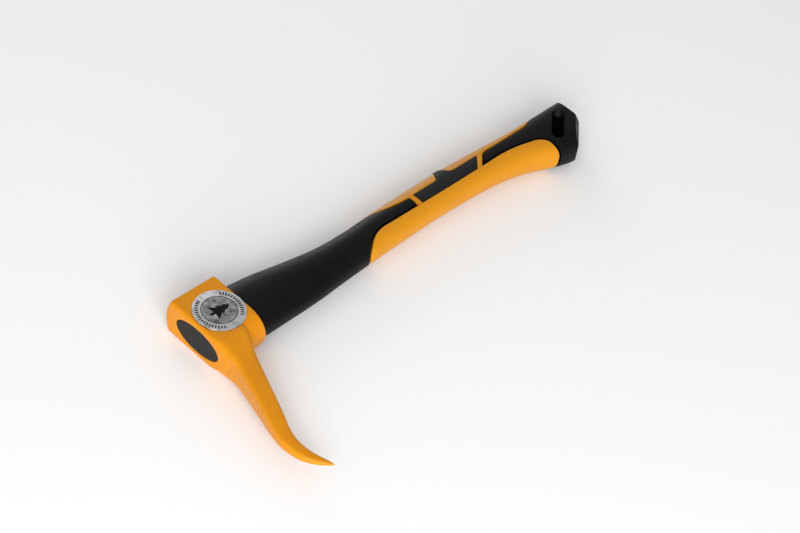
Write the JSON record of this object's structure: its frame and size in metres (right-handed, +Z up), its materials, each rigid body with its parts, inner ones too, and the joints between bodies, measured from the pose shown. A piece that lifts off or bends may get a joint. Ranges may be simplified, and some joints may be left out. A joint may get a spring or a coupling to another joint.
{
  "type": "log pick",
  "caption": "One-hand forestry log pick: forged lacquered head with a long hooked pick and flat poll, resin-set on a moulded handle with flared butt and hanging slot.",
  "frame": {"origin": "on the surface the tool lies on, under the middle of its bounding box", "axes": "+X along the handle from the eye's open end to the butt, +Y towards the poll (the pick points towards -Y), +Z up out of the badge cheek; the tool lies on its other cheek"},
  "size_m": [0.4116, 0.1768, 0.0309],
  "materials": {
    "lacquered_steel": "orange-yellow gloss lacquer over forged steel",
    "grey_resin": "dark grey cast resin, smooth and matt",
    "black_rubber": "soft black rubber",
    "fibreglass": "pultruded fibreglass, pale and slightly see-through",
    "black_moulding": "black moulded plastic, fine satin texture",
    "yellow_moulding": "yellow moulded plastic, fine satin texture",
    "soft_black": "soft black moulding, matt",
    "stamped_aluminium": "stamped and brushed, mottled silver",
    "clear_glue": "cured clear adhesive"
  },
  "bodies": {
    "root": {"pick_head": "lacquered_steel", "eye_resin": "grey_resin", "resin_dam": "black_rubber", "fibreglass_core": "fibreglass", "handle_body": "black_moulding", "yellow_grip": "yellow_moulding", "thumb_rest": "soft_black", "badge_disc": "stamped_aluminium", "badge_glue": "clear_glue"}
  },
  "joints": []
}
